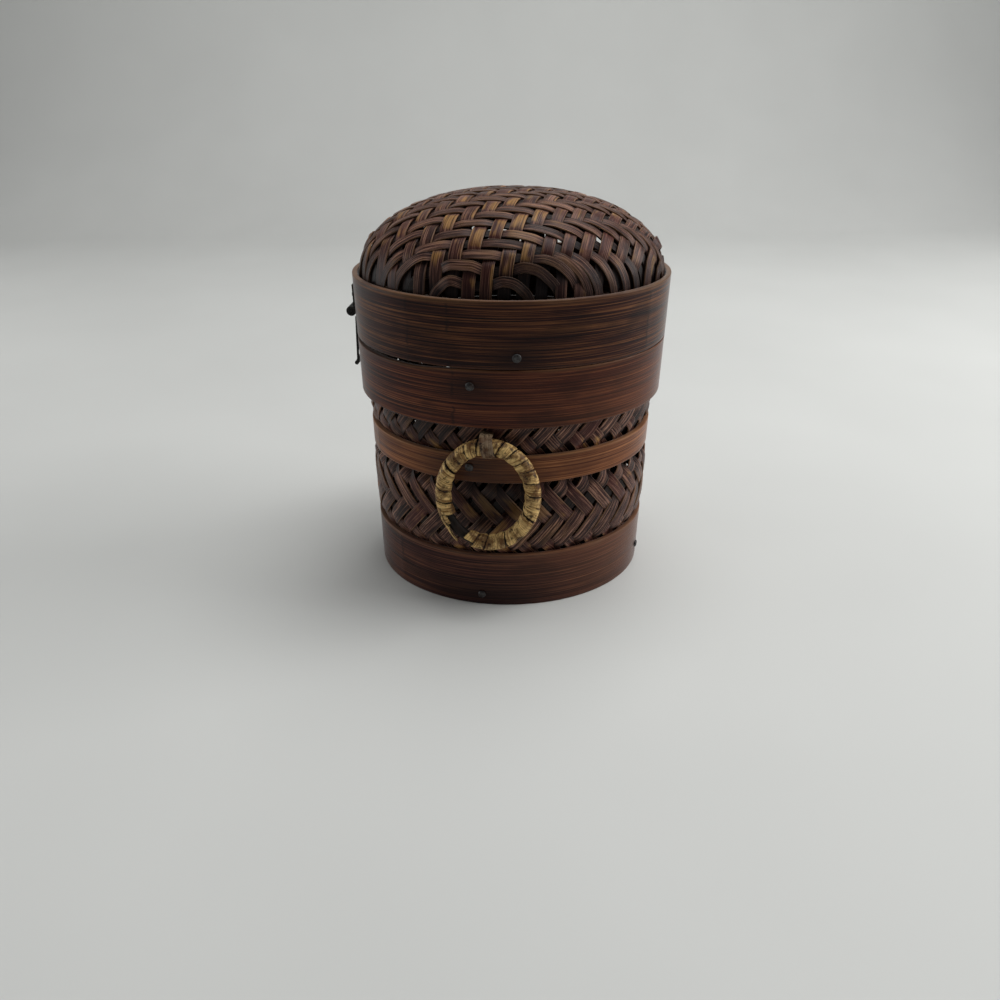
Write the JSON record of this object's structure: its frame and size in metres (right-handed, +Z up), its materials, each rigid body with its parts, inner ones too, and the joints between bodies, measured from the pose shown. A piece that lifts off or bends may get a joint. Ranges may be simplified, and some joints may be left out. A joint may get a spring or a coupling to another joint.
{
  "type": "wicker jewelry box",
  "caption": "Oval woven cane box with bent wood bands, a hinged woven dome lid, a metal hasp and wrapped cane carrying rings.",
  "frame": {"origin": "on the surface the box stands on, under the middle of the oval floor", "axes": "+Z up; +X along the oval's long axis towards the hinge end; -Y towards the front ring"},
  "size_m": [0.126, 0.1154, 0.153],
  "materials": {
    "dark_band": "dark stained bent wood, satin",
    "pale_band": "worn stained bent wood, satin",
    "cane": "dark stained woven cane, satin",
    "ring_cane": "natural cane, matte with brown stains",
    "ring_core": "dark bent cane, matte",
    "nail_metal": "dull dark steel",
    "hasp_metal": "blackened sheet metal"
  },
  "bodies": {
    "basket": {"base_hoop": "dark_band", "base_inner_hoop": "dark_band", "rim_hoop": "dark_band", "rim_inner_hoop": "dark_band", "mid_hoop": "pale_band", "woven_wall": "cane", "woven_floor": "cane", "ring_loop_front": "ring_cane", "ring_loop_back": "ring_cane", "base_nail_front": "nail_metal", "base_nail_back": "nail_metal", "base_nail_left": "nail_metal", "base_nail_right": "nail_metal", "mid_nail_front": "nail_metal", "mid_nail_back": "nail_metal", "rim_nail_front": "nail_metal", "rim_nail_back": "nail_metal", "catch_stud": "nail_metal", "hinge_leaf_body": "hasp_metal", "hinge_pin": "hasp_metal", "hinge_leaf_body_tack_front": "nail_metal", "hinge_leaf_body_tack_back": "nail_metal"},
    "lid": {"lid_hoop": "dark_band", "lid_inner_hoop": "dark_band", "lid_dome": "cane", "lid_nail_front": "nail_metal", "lid_nail_back": "nail_metal", "hinge_leaf_lid": "hasp_metal", "hinge_leaf_lid_tack_front": "nail_metal", "hinge_leaf_lid_tack_back": "nail_metal", "hasp_plate": "hasp_metal", "hasp_pin": "hasp_metal", "hasp_tack_front": "nail_metal", "hasp_tack_back": "nail_metal"},
    "hasp": {"hasp_flap": "hasp_metal"},
    "ring_front": {"ring_core_front": "ring_core", "ring_wrap_front": "ring_cane"},
    "ring_back": {"ring_core_back": "ring_core", "ring_wrap_back": "ring_cane"}
  },
  "joints": [
    {"name": "lid_hinge", "type": "hinge", "parent": "basket", "child": "lid", "pos_m": [0.05922, 0.00556, 0.10145], "axis": [-0.1392, 0.9903, 0], "range_deg": [0, 105]},
    {"name": "hasp_swing", "type": "hinge", "parent": "lid", "child": "hasp", "pos_m": [-0.06179, 0.00592, 0.1082], "axis": [0.1392, 0.9903, 0], "range_deg": [0, 150]},
    {"name": "ring_front_swing", "type": "hinge", "parent": "basket", "child": "ring_front", "pos_m": [-0.01113, -0.04977, 0.07345], "axis": [-0.9888, 0.1495, 0], "range_deg": [0, 140]},
    {"name": "ring_back_swing", "type": "hinge", "parent": "basket", "child": "ring_back", "pos_m": [0.01113, 0.04977, 0.07345], "axis": [0.9888, -0.1495, 0], "range_deg": [0, 140]}
  ]
}
